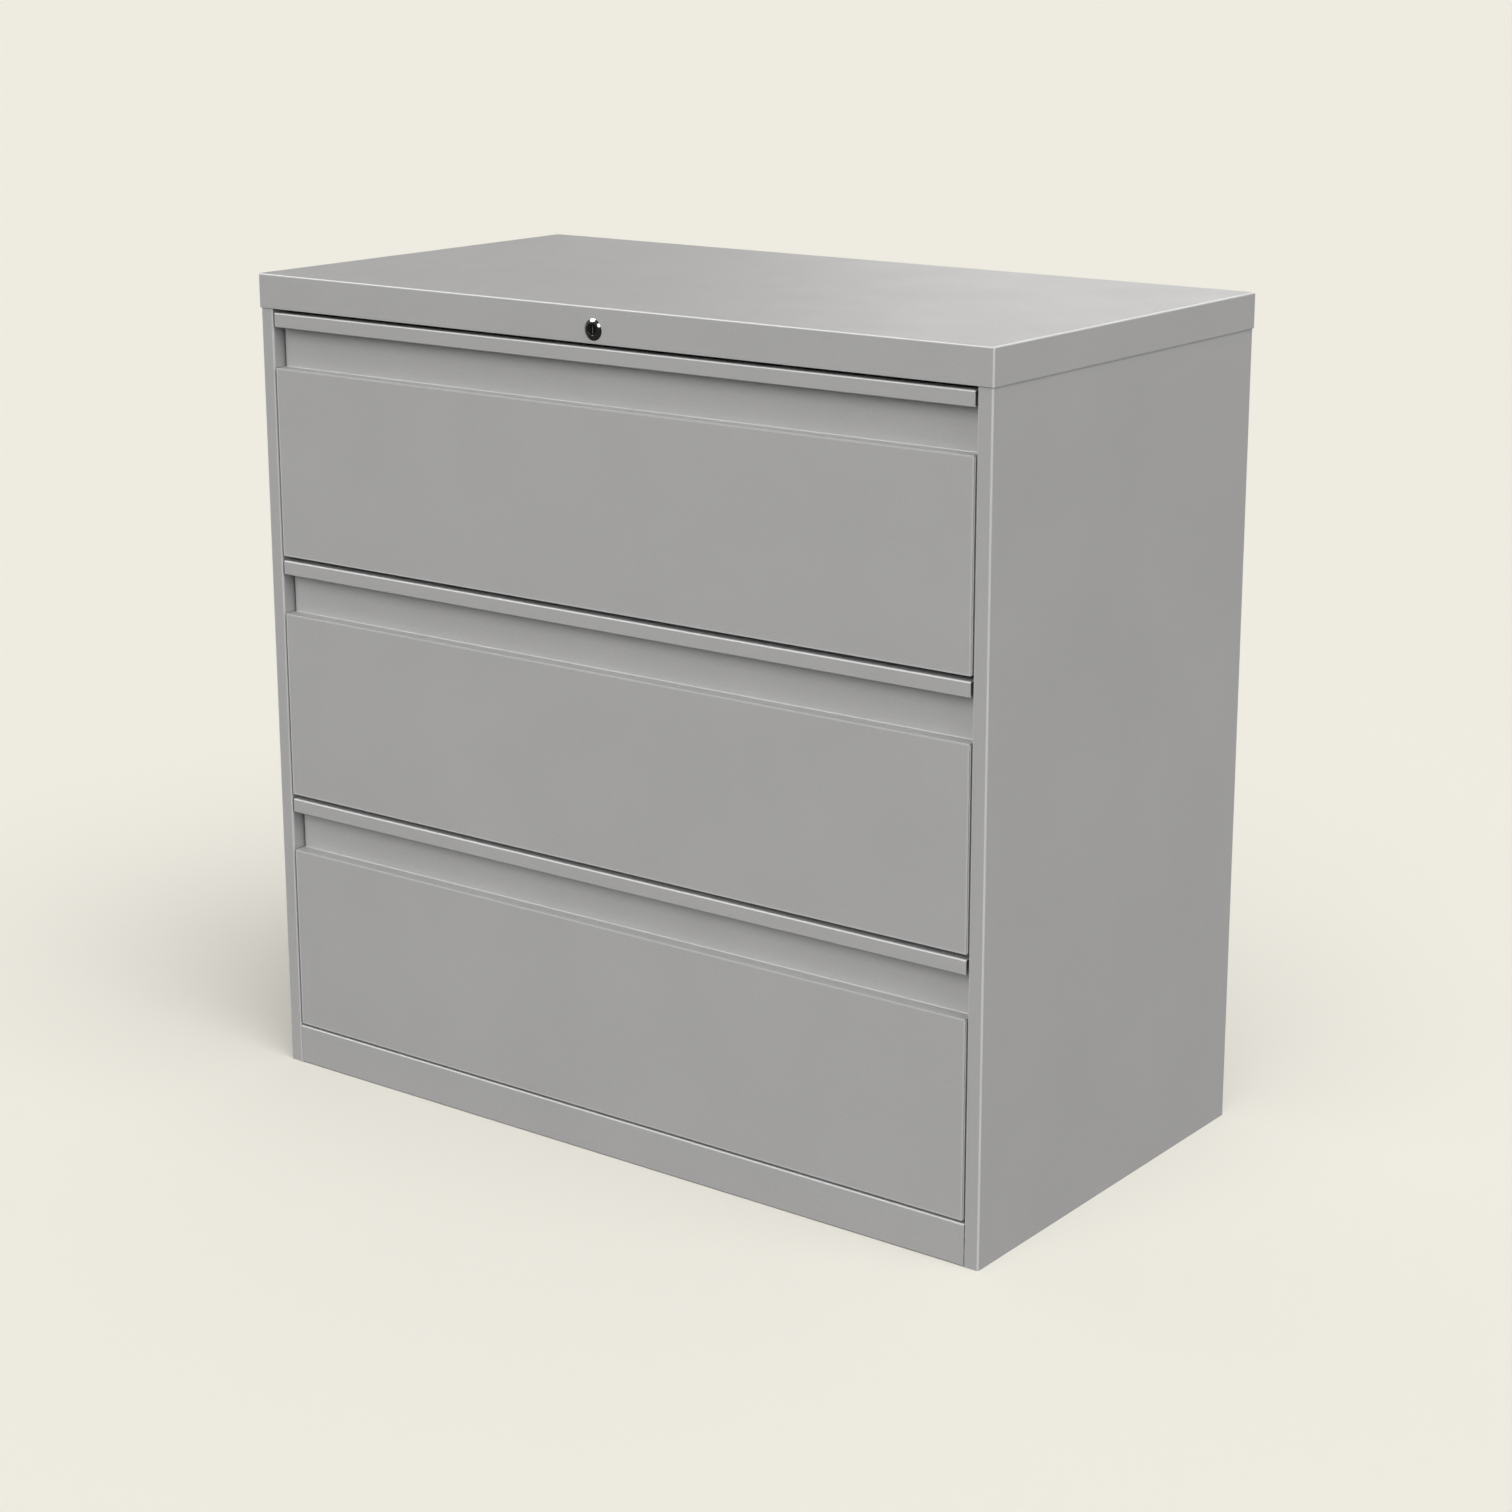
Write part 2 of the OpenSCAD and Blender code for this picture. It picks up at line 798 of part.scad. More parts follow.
// A guide under the top panel that the lock link slides sideways in.
module link_guide(x0) {
    x1 = x0 + guide_h;
    difference() {
        block(
            [x0, link_y0 - air - guide_wall, link_z0 - air - guide_wall],
            [x1, link_y0 + link_t + air + guide_wall, under_top_z]
        );
        block(
            [x0 - past, link_y0 - air, link_z0 - air],
            [x1 + past, link_y0 + link_t + air, link_z1 + air]
        );
    }
}

module lock_guides() {
    color(zinc) {
        for (k = [0 : len(LEVELS) - 1])
            bar_guide(face_z0(k) + guide_lift);
        for (x = link_guide_x)
            link_guide(x);
    }
}

// ---- Nodes ----

top_panel();
side_panel("left");  // left_side_panel
side_panel("right");  // right_side_panel
back_panel();
bottom_panel();
base_rail();
rear_base_rail();
top_front_rail();
upright("left", front_upright_y);  // left_front_upright
upright("right", front_upright_y);  // right_front_upright
upright("left", rear_upright_y);  // left_rear_upright
upright("right", rear_upright_y);  // right_rear_upright
glide_brackets();
counterweight();
case_screws();
lock_housing();
lock_nut();
lock_guides();
lock_plug();
lock_cam();
lock_link();
lock_bar();
lock_lugs();
glide("left", front_glide_y);  // left_front_glide
glide("right", front_glide_y);  // right_front_glide
glide("left", rear_glide_y);  // left_rear_glide
glide("right", rear_glide_y);  // right_rear_glide
for (k = [0 : len(LEVELS) - 1]) {
    level = LEVELS[k];
    drawer_front(k);
    drawer_liner(k);
    tray_floor(k);
    tray_side(k, "left");
    tray_side(k, "right");
    tray_back(k);
    hang_rails(k);
    drawer_catch(k);
    outer_slides(k);
    centre_slides(k);
    inner_slides(k);
}
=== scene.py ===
"""Looks of a three-drawer lateral filing cabinet in folded, powder-coated sheet steel.

Metres, +Z up, drawers facing -Y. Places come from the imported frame's node boxes.
"""

import json
import math

import bmesh
import bpy
from mathutils import Matrix, Vector

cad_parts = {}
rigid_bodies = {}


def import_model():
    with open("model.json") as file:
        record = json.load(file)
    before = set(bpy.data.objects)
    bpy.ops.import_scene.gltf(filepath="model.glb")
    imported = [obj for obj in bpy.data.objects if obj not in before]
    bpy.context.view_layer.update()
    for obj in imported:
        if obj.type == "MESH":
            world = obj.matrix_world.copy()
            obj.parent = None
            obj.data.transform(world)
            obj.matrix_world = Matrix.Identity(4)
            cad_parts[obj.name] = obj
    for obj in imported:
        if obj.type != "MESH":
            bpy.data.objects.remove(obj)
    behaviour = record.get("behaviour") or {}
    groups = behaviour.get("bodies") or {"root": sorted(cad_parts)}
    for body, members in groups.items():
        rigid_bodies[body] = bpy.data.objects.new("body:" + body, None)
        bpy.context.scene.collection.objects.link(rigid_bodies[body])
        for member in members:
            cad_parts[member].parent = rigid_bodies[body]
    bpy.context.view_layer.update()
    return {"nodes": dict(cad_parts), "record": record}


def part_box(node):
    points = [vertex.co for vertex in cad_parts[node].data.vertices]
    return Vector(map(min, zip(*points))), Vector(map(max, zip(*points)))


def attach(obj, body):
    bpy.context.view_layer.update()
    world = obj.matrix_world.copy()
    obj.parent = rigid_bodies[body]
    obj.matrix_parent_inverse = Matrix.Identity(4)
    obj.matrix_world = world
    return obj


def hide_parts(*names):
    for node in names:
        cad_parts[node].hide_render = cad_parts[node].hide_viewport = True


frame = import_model()

LEVELS = ("bottom", "middle", "top")
SIDES = ("left", "right")

# Sheet steel
SHEET = 0.0012
BEND_R = 0.0008
BEND_OUT = BEND_R + SHEET
BEND_STEPS = 5
CUT_EDGE = 0.0002
CUT_EDGE_STEPS = 2
SHARP_DEGREES = 40

# Case
STILE_W = 0.019
STILE_RETURN = 0.028
REAR_FLANGE = 0.022
BASE_FLANGE = 0.036
FLOOR_FLANGE = 0.028

# Drawer fronts
RECESS_H = 0.050
RECESS_D = 0.0175
FRONT_RETURN = 0.017
BAR_H = 0.018
BAR_HEM = 0.006

# Lock. The bezel's face falls back from the lip round the plug to the rim on the skirt.
PLUG_R = 0.0064
PLUG_GAP = 0.00005
BARREL_R = 0.0095
LIP_W = 0.0012
LIP_CHAMFER_W = 0.0011
LIP_CHAMFER_D = 0.0003
LIP_FALL = 0.0001
SLOPE_W = 0.0022
SLOPE_FALL = 0.0010
SHOULDER_W = 0.0005
SHOULDER_FALL = 0.0019
RIM_H = 0.0002
LOCK_EASE = 0.00015
TURNED_STEPS = 64

# Case screws, with a hexagon head on a round flange
SCREWS_PER_SIDE = 5
SCREW_SHANK_R = 0.002
SCREW_HEAD_R = 0.004
SCREW_FLANGE = 0.0005
SCREW_HEX = 0.0027
SCREW_CHAMFER = 0.0002
SCREW_EASE = 0.00008
SCREW_STEPS = 48
SCREW_TURN = 0.7

# Mesh tolerances
SAME_PLACE = 1e-5
SAME_POINT = 1e-6
FACING_DOWN = -0.9


# ---- Mesh helpers ----

def make_piece(bm, name, body, material):
    """Turns a bmesh into an object that rides on a body and takes its finish from a slot."""
    mesh = bpy.data.meshes.new(name)
    bm.to_mesh(mesh)
    bm.free()
    for polygon in mesh.polygons:
        polygon.use_smooth = True
    piece = bpy.data.objects.new(name, mesh)
    bpy.context.scene.collection.objects.link(piece)
    piece.data.materials.append(material)
    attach(piece, body)
    return piece


def give_thickness(piece):
    """Thickens an open sheet behind its outer face."""
    solid = piece.modifiers.new("thickness", "SOLIDIFY")
    solid.thickness = SHEET
    solid.offset = -1
    solid.use_even_offset = True


def soften_cut_edges(piece, width=CUT_EDGE):
    """Rounds the sharp edges that are left and keeps the broad faces flat in shading."""
    bevel = piece.modifiers.new("cut_edges", "BEVEL")
    bevel.width = width
    bevel.segments = CUT_EDGE_STEPS
    bevel.limit_method = "ANGLE"
    bevel.angle_limit = math.radians(SHARP_DEGREES)
    normals = piece.modifiers.new("flat_faces", "WEIGHTED_NORMAL")
    normals.keep_sharp = False


def place_on(axis, a, b, along):
    """A point with coordinates a and b in the section and along on the extrusion axis."""
    if axis == "X":
        return Vector((along, a, b))
    return Vector((a, b, along))


def extrude_path(bm, path, axis, low, high):
    """Extrudes a section path along X or Z. Its faces look to the right of the path."""
    first = [bm.verts.new(place_on(axis, a, b, low)) for a, b in path]
    edges = [bm.edges.new(pair) for pair in zip(first, first[1:])]
    new = bmesh.ops.extrude_edge_only(bm, edges=edges)["geom"]
    shift = place_on(axis, 0, 0, high - low)
    bmesh.ops.translate(bm, vec=shift, verts=[v for v in new if isinstance(v, bmesh.types.BMVert)])
    bm.normal_update()
    run = place_on(axis, path[1][0] - path[0][0], path[1][1] - path[0][1], 0)
    if first[0].link_faces[0].normal.dot(run.cross(shift)) < 0:
        bmesh.ops.reverse_faces(bm, faces=bm.faces[:])


def edges_between(bm, test):
    """Edges whose two ends both pass a test."""
    return [e for e in bm.edges if all(test(v.co) for v in e.verts)]


def new_sheet():
    """An empty bmesh whose faces can be marked as part of a fold."""
    bm = bmesh.new()
    bm.faces.layers.float.new("fold")
    return bm


def round_edges(bm, edges, width):
    """Rounds the folds of a sheet and marks their faces, which the coat paints lighter as a painted
    highlight.
    """
    made = bmesh.ops.bevel(
        bm,
        geom=edges,
        offset=width,
        offset_type="OFFSET",
        segments=BEND_STEPS,
        profile=0.5,
        affect="EDGES",
        material=-1,
        clamp_overlap=True,
    )
    fold = bm.faces.layers.float["fold"]
    for face in made["faces"]:
        face[fold] = 1


def near(value, target):
    """Whether two coordinates are the same, within a hundredth of a millimetre."""
    return abs(value - target) < SAME_PLACE


def folded_sheet(path, axis, low, high):
    """An open sheet with square bends, each rounded to the same radius on its outer face."""
    bm = new_sheet()
    extrude_path(bm, path, axis, low, high)
    folds = [e for e in bm.edges if len(e.link_faces) == 2]
    round_edges(bm, folds, BEND_OUT)
    return bm


# ---- Material helpers ----

def new_material(name):
    """A new material, its node tree and its shader."""
    material = bpy.data.materials.new(name)
    material.use_nodes = True
    tree = material.node_tree
    return material, tree, tree.nodes["Principled BSDF"]


def object_noise(tree, scale, detail=2, stretch=(1, 1, 1)):
    """Noise that sticks to the piece. Scale is in features per metre."""
    coords = tree.nodes.new("ShaderNodeTexCoord")
    mapping = tree.nodes.new("ShaderNodeMapping")
    mapping.inputs["Scale"].default_value = stretch
    noise = tree.nodes.new("ShaderNodeTexNoise")
    noise.inputs["Scale"].default_value = scale
    noise.inputs["Detail"].default_value = detail
    tree.links.new(coords.outputs["Object"], mapping.inputs["Vector"])
    tree.links.new(mapping.outputs["Vector"], noise.inputs["Vector"])
    return noise.outputs["Fac"]


def spread(tree, value, low=0, high=1, start=0.3, end=0.7):
    """Maps a noise value, which mostly runs from start to end, onto a range."""
    node = tree.nodes.new("ShaderNodeMapRange")
    node.inputs["From Min"].default_value = start
    node.inputs["From Max"].default_value = end
    node.inputs["To Min"].default_value = low
    node.inputs["To Max"].default_value = high
    tree.links.new(value, node.inputs["Value"])
    return node.outputs["Result"]


def set_or_link(tree, socket, value):
    """Links a socket to another one, or gives it a plain value."""
    if isinstance(value, bpy.types.NodeSocket):
        tree.links.new(value, socket)
    else:
        socket.default_value = value


def colour_mix(tree, factor, first, second):
    """Mixes two colours, each a socket or three numbers. The factor is a socket or a number."""
    node = tree.nodes.new("ShaderNodeMix")
    node.data_type = "RGBA"
    set_or_link(tree, node.inputs["Factor"], factor)
    for socket, value in (("A", first), ("B", second)):
        target = [s for s in node.inputs if s.name == socket and s.type == "RGBA"][0]
        if not isinstance(value, bpy.types.NodeSocket):
            value = (*value, 1)
        set_or_link(tree, target, value)
    return [s for s in node.outputs if s.type == "RGBA"][0]


def math_node(tree, operation, *values):
    """A sum on sockets and numbers."""
    node = tree.nodes.new("ShaderNodeMath")
    node.operation = operation
    for socket, value in zip(node.inputs, values):
        set_or_link(tree, socket, value)
    return node.outputs["Value"]


def add_bump(tree, shader, height, distance, strength, under=None):
    """Raises the surface by a height, on top of the bump under it if there is one."""
    bump = tree.nodes.new("ShaderNodeBump")
    bump.inputs["Distance"].default_value = distance
    bump.inputs["Strength"].default_value = strength
    tree.links.new(height, bump.inputs["Height"])
    if under is not None:
        tree.links.new(under, bump.inputs["Normal"])
    tree.links.new(bump.outputs["Normal"], shader.inputs["Normal"])
    return bump.outputs["Normal"]


# ---- Materials ----

# Shares of the coat's grey in the slow mottle, in the fine fleck, and in the painted highlight
# along the folds, and how much of the coat's colour the fleck makes up
MOTTLE_DARK = 0.955
MOTTLE_LIGHT = 1.03
FLECK_DARK = 0.86
FLECK_LIGHT = 1.13
FLECK_SHARE = 0.5
FOLD_PAINTED_HIGHLIGHT = 1.2


def shade(grey, share):
    """A colour made darker or lighter by a share."""
    return [share * c for c in grey]


def powder_coat(name, grey, roughness):
    """Baked powder coat: slight mottling, orange peel and a fine grit."""
    material, tree, shader = new_material(name)
    mottle = spread(tree, object_noise(tree, scale=7, detail=4))
    speckle = spread(tree, object_noise(tree, scale=700))
    base = colour_mix(tree, mottle, shade(grey, MOTTLE_DARK), shade(grey, MOTTLE_LIGHT))
    fleck = colour_mix(tree, speckle, shade(grey, FLECK_DARK), shade(grey, FLECK_LIGHT))
    coat = colour_mix(tree, FLECK_SHARE, base, fleck)
    fold = tree.nodes.new("ShaderNodeAttribute")
    fold.attribute_name = "fold"
    # The marked fold faces get a lighter grey: a painted highlight along the folds
    lightened = colour_mix(tree, fold.outputs["Fac"], coat, shade(grey, FOLD_PAINTED_HIGHLIGHT))
    tree.links.new(lightened, shader.inputs["Base Color"])
    cloud = object_noise(tree, scale=11, detail=3)
    gloss = spread(tree, cloud, low=roughness - 0.03, high=roughness + 0.04)
    tree.links.new(gloss, shader.inputs["Roughness"])
    peel = object_noise(tree, scale=420)
    grit = object_noise(tree, scale=1900, detail=1)
    under = add_bump(tree, shader, peel, distance=0.00005, strength=0.6)
    add_bump(tree, shader, grit, distance=0.00001, strength=0.5, under=under)
    return material


def zinc_plate(name):
    """Bright zinc on rolled steel: faint streaks along the strip and a clouded sheen."""
    dull = (0.50, 0.51, 0.52)
    bright = (0.64, 0.64, 0.63)
    material, tree, shader = new_material(name)
    shader.inputs["Metallic"].default_value = 1
    cloud = spread(tree, object_noise(tree, scale=28, detail=4))
    tree.links.new(colour_mix(tree, cloud, dull, bright), shader.inputs["Base Color"])
    streak = object_noise(tree, scale=900, stretch=(1, 0.04, 1))
    tree.links.new(spread(tree, streak, low=0.27, high=0.42), shader.inputs["Roughness"])
    add_bump(tree, shader, streak, distance=0.00001, strength=0.6)
    return material


def lock_chrome(name):
    """Chrome plate with fine handling scratches."""
    deep = (0.30, 0.30, 0.31)
    clear = (0.36, 0.36, 0.36)
    material, tree, shader = new_material(name)
    shader.inputs["Metallic"].default_value = 1
    scratch = object_noise(tree, scale=2600, detail=3, stretch=(1, 1, 0.2))
    tree.links.new(colour_mix(tree, spread(tree, scratch), deep, clear), shader.inputs["Base Color"])
    tree.links.new(spread(tree, scratch, low=0.10, high=0.17), shader.inputs["Roughness"])
    add_bump(tree, shader, scratch, distance=0.000004, strength=0.5)
    return material


def plug_steel(name):
    """Blackened lock plug, worn a little by the key."""
    black = (0.004, 0.004, 0.0045)
    lightened = (0.02, 0.02, 0.02)
    material, tree, shader = new_material(name)
    shader.inputs["Specular IOR Level"].default_value = 0.12
    wear = object_noise(tree, scale=700, detail=4)
    patches = spread(tree, wear, start=0.45, end=0.75)
    tree.links.new(colour_mix(tree, patches, black, lightened), shader.inputs["Base Color"])
    tree.links.new(spread(tree, wear, low=0.30, high=0.48), shader.inputs["Roughness"])
    add_bump(tree, shader, wear, distance=0.00002, strength=0.5)
    return material


def ballast_iron(name):
    """Hot-rolled bar with mill scale."""
    scale_grey = (0.045, 0.043, 0.045)
    bare_iron = (0.13, 0.11, 0.10)
    material, tree, shader = new_material(name)
    shader.inputs["Metallic"].default_value = 0.7
    crust = object_noise(tree, scale=60, detail=6)
    tint = colour_mix(tree, spread(tree, crust), scale_grey, bare_iron)
    tree.links.new(tint, shader.inputs["Base Color"])
    tree.links.new(spread(tree, crust, low=0.55, high=0.8), shader.inputs["Roughness"])
    pits = object_noise(tree, scale=300, detail=4)
    add_bump(tree, shader, pits, distance=0.0002, strength=0.6)
    return material


def glide_nylon(name):
    """Black moulded nylon with a fine mould texture."""
    black = (0.016, 0.016, 0.017)
    scuffed = (0.03, 0.03, 0.03)
    material, tree, shader = new_material(name)
    grain = object_noise(tree, scale=1800)
    tree.links.new(colour_mix(tree, spread(tree, grain), black, scuffed), shader.inputs["Base Color"])
    tree.links.new(spread(tree, grain, low=0.5, high=0.62), shader.inputs["Roughness"])
    add_bump(tree, shader, grain, distance=0.00003, strength=0.6)
    return material


CASE_GREY = (0.392, 0.394, 0.400)
INNER_GREY = (0.333, 0.335, 0.340)

MATERIALS = {
    "case_paint": powder_coat("case_paint", CASE_GREY, roughness=0.40),
    "inner_paint": powder_coat("inner_paint", INNER_GREY, roughness=0.46),
    "zinc_plate": zinc_plate("zinc_plate"),
    "lock_chrome": lock_chrome("lock_chrome"),
    "plug_steel": plug_steel("plug_steel"),
    "ballast_iron": ballast_iron("ballast_iron"),
    "glide_plastic": glide_nylon("glide_nylon"),
}


def finish_frame_nodes():
    """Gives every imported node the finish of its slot."""
    for entry in frame["record"]["subparts"]:
        node = frame["nodes"][entry["node"]]
        node.data.materials.clear()
        node.data.materials.append(MATERIALS[entry["material_slot"]])


def case_piece(bm, name, node, body="cabinet"):
    """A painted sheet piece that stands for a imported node."""
    piece = make_piece(bm, name, body, MATERIALS["case_paint"])
    give_thickness(piece)
    soften_cut_edges(piece)
    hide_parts(node)


# ---- Case ----

def build_top_panel():
    """The lid, a box that is open below."""
    low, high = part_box("top_panel")
    bm = new_sheet()
    bmesh.ops.create_cube(bm, size=1)
    bmesh.ops.scale(bm, vec=high - low, verts=bm.verts)
    bmesh.ops.translate(bm, vec=(low + high) / 2, verts=bm.verts)
    under = [f for f in bm.faces if f.normal.z < FACING_DOWN]
    bmesh.ops.delete(bm, geom=under, context="FACES_ONLY")
    folds = [e for e in bm.edges if not e.is_boundary]
    round_edges(bm, folds, BEND_OUT)
    case_piece(bm, "folded_top_panel", "top_panel")


def build_side_panel(side):
    """A side with its front stile, the stile's return and the rear flange."""
    low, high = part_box(f"{side}_side_panel")
    outer = high[0] if side == "right" else low[0]
    inner_stile = outer - math.copysign(STILE_W, outer)
    path = [
        (inner_stile, low[1] + STILE_RETURN),
        (inner_stile, low[1]),
        (outer, low[1]),
        (outer, high[1]),
        (outer - math.copysign(REAR_FLANGE, outer), high[1]),
    ]
    if side == "left":
        path.reverse()
    bm = folded_sheet(path, "Z", low[2], high[2])
    case_piece(bm, f"folded_{side}_side", f"{side}_side_panel")


def build_base_rail(node, forward):
    """A base rail. Forward is -1 for a face towards -Y and 1 for one towards +Y."""
    low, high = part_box(node)
    face = low[1] if forward < 0 else high[1]
    path = [
        (face - forward * BASE_FLANGE, high[2]),
        (face, high[2]),
        (face, low[2]),
        (face - forward * FLOOR_FLANGE, low[2]),
    ]
    if forward > 0:
        path.reverse()
    bm = folded_sheet(path, "X", low[0], high[0])
    case_piece(bm, f"folded_{node}", node)


# ---- Drawer fronts ----

def build_drawer_front(level):
    """Pull bar, finger recess, ledge and face, folded from one sheet, with the face's ends closed."""
    node = f"{level}_drawer_front"
    low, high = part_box(node)
    face_y = low[1]
    top = high[2]
    back_y = face_y + RECESS_D
    bar_under = top - BAR_H
    face_top = bar_under - RECESS_H
    bar = [
        (face_y + BAR_HEM, bar_under + SHEET),
        (face_y + SHEET, bar_under + SHEET),
        (face_y + SHEET, top - SHEET),
        (back_y, top - SHEET),
    ]
    face = [
        (back_y, face_top),
        (face_y, face_top),
        (face_y, low[2]),
        (face_y + FRONT_RETURN, low[2]),
    ]
    bm = new_sheet()
    extrude_path(bm, bar + face, "X", low[0], high[0])
    for x in (low[0], high[0]):
        corners = [
            v for a, b in face for v in bm.verts
            if near(v.co.x, x) and near(v.co.y, a) and near(v.co.z, b)
        ]
        bm.faces.new(corners if x < 0 else corners[::-1])
    bm.normal_update()

    def on_points(points):
        return lambda co: any(near(co.y, a) and near(co.z, b) for a, b in points)

    bar_and_recess = edges_between(bm, on_points(bar[1:] + face[:1]))
    long_folds = [e for e in bar_and_recess if e.calc_length() > RECESS_H]
    round_edges(bm, long_folds, BEND_R)
    round_edges(bm, edges_between(bm, on_points(face[1:3])), BEND_OUT)
    case_piece(bm, f"folded_{node}", node, f"{level}_drawer")


# ---- Lock ----

def spin_profile(profile, centre):
    """A turned part about the Y axis through centre. The profile is a list of (radius, y)."""
    bm = bmesh.new()
    points = [bm.verts.new((centre[0] + r, y, centre[2])) for r, y in profile]
    edges = [bm.edges.new(pair) for pair in zip(points, points[1:] + points[:1])]
    bmesh.ops.spin(
        bm,
        geom=points + edges,
        cent=centre,
        axis=(0, 1, 0),
        angle=2 * math.pi,
        steps=TURNED_STEPS,
        use_merge=True,
    )
    bmesh.ops.remove_doubles(bm, verts=bm.verts, dist=SAME_POINT)
    bmesh.ops.recalc_face_normals(bm, faces=bm.faces)
    return bm


def build_lock_housing():
    """The bezel on the skirt and the barrel behind it, with the bore for the plug."""
    low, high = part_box("lock_housing")
    skirt_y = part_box("top_panel")[0][1]
    front_y = low[1]
    bezel_r = (high[0] - low[0]) / 2
    bore_r = PLUG_R + PLUG_GAP
    lip_r = bore_r + LIP_CHAMFER_W
    centre = ((low[0] + high[0]) / 2, 0, (low[2] + high[2]) / 2)
    profile = [
        (bore_r, high[1]),
        (bore_r, front_y + LIP_CHAMFER_D),
        (lip_r, front_y),
        (lip_r + LIP_W, front_y + LIP_FALL),
        (bezel_r - SLOPE_W, front_y + SLOPE_FALL),
        (bezel_r - SHOULDER_W, front_y + SHOULDER_FALL),
        (bezel_r, skirt_y - RIM_H),
        (bezel_r, skirt_y),
        (BARREL_R, skirt_y),
        (BARREL_R, high[1]),
    ]
    bm = spin_profile(profile, centre)
    piece = make_piece(bm, "lock_bezel_and_barrel", "cabinet", MATERIALS["lock_chrome"])
    soften_cut_edges(piece, LOCK_EASE)
    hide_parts("lock_housing")


# ---- Screws ----

def add_screw(bm, seat, tip_y, head_y, turn):
    """One hex washer-head screw on the Y axis. Its flange sits on the seat and the head looks to +Y."""

    def circle(radius):
        return lambda angle: radius

    def hexagon(flat):
        sixth = math.pi / 3
        return lambda angle: flat / math.cos((angle - turn) % sixth - sixth / 2)

    stand = Matrix.Translation((seat.x, tip_y, seat.z)) @ Matrix.Rotation(math.pi / 2, 4, "X")
    rim = bmesh.ops.create_circle(
        bm,
        cap_ends=True,
        segments=SCREW_STEPS,
        radius=SCREW_SHANK_R,
        matrix=stand,
    )["verts"]
    cap = rim[0].link_faces[0]
    flange_y = seat.y + SCREW_FLANGE
    sections = [
        (circle(SCREW_SHANK_R), seat.y),
        (circle(SCREW_HEAD_R - SCREW_CHAMFER), seat.y),
        (circle(SCREW_HEAD_R), seat.y + SCREW_CHAMFER),
        (circle(SCREW_HEAD_R - SCREW_CHAMFER), flange_y),
        (hexagon(SCREW_HEX), flange_y + SCREW_CHAMFER),
        (hexagon(SCREW_HEX), head_y - SCREW_CHAMFER),
        (circle(SCREW_HEX - SCREW_CHAMFER), head_y),
    ]
    for radius_at, y in sections:
        made = bmesh.ops.extrude_face_region(bm, geom=[cap])["geom"]
        cap = [g for g in made if isinstance(g, bmesh.types.BMFace)][0]
        for vert in cap.verts:
            angle = math.atan2(vert.co.z - seat.z, vert.co.x - seat.x)
            radius = radius_at(angle)
            vert.co = (seat.x + radius * math.cos(angle), y, seat.z + radius * math.sin(angle))


def build_case_screws():
    """The screws up both sides of the back, each turned to its own angle."""
    low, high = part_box("case_screws")
    rear_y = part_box("left_side_panel")[1][1]
    first_z = low[2] + SCREW_HEAD_R
    pitch = (high[2] - SCREW_HEAD_R - first_z) / (SCREWS_PER_SIDE - 1)
    bm = bmesh.new()
    for x in (low[0] + SCREW_HEAD_R, high[0] - SCREW_HEAD_R):
        for i in range(SCREWS_PER_SIDE):
            seat = Vector((x, rear_y, first_z + i * pitch))
            add_screw(bm, seat, low[1], high[1], SCREW_TURN * i + x)
    bmesh.ops.recalc_face_normals(bm, faces=bm.faces)
    piece = make_piece(bm, "hex_head_screws", "cabinet", MATERIALS["zinc_plate"])
    soften_cut_edges(piece, SCREW_EASE)
    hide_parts("case_screws")


# ---- Staging ----

FLOOR_HALF = 150
FLOOR_COLOUR = (0.80, 0.787, 0.732)
BACKDROP_COLOUR = (0.84, 0.815, 0.745)
LAMP_COLOUR = (1.0, 0.985, 0.962)

# Share of the floor's light that reaches the cabinet
FLOOR_BOUNCE = 0.06

# Brightness of the studio's surroundings, as the cabinet sees them, and its rise towards the back
SKY_EVEN = 0.2
SKY_FROM_BACK = 0.15

# Direction towards each lamp, its strength, how wide it looks in degrees, which light it gives,
# and what it lights. Matte light leaves no reflection of the lamp, gloss is the reflection alone,
# and full light is both.
LAMPS = {
    "front": ((0.0, -1.0, 0.5), 2.6, 60, "matte", "cabinet"),
    "right": ((1.0, -0.1, 0.3), 1.68, 40, "full", "cabinet"),
    "left": ((-1.0, 0.0, 0.06), 1.2, 12, "matte", "cabinet"),
    "back": ((0.0, 1.0, 0.06), 1.2, 12, "matte", "cabinet"),
    "high_right": ((0.6, -0.15, 1.0), 1.1, 45, "full", "all"),
    "floor_wash": ((0.35, -0.55, 1.0), 1.35, 60, "full", "floor"),
    "floor_fill": ((-0.1, 0.1, 1.0), 0.68, 90, "full", "floor"),
    "front_glint": ((0.2, -1.0, 0.42), 0.45, 22, "gloss", "cabinet"),
    "front_edges": ((-0.58, -0.4, 0.7), 3.8, 35, "gloss", "cabinet"),
    "side_edges": ((0.0, 0.75, 0.65), 1.5, 35, "gloss", "cabinet"),
    "low_back": ((-0.33, 0.94, 0.18), 0.3, 34, "gloss", "cabinet"),
}

# Where the camera stands, where it looks, and its lens and film in millimetres
CAMERA_PLACE = (2.1946, -2.8788, 1.4612)
CAMERA_TURN_DEGREES = 36.70
CAMERA_DROP_DEGREES = 14.10
CAMERA_LENS = 72.36
CAMERA_FILM = 36
CAMERA_SHIFT_X = -0.0137
CAMERA_SHIFT_Y = -0.06
CAMERA_REACH = 400


def seen_by_camera(tree):
    """1 where the camera looks at a surface itself and 0 where only its light is wanted."""
    return tree.nodes.new("ShaderNodeLightPath").outputs["Is Camera Ray"]


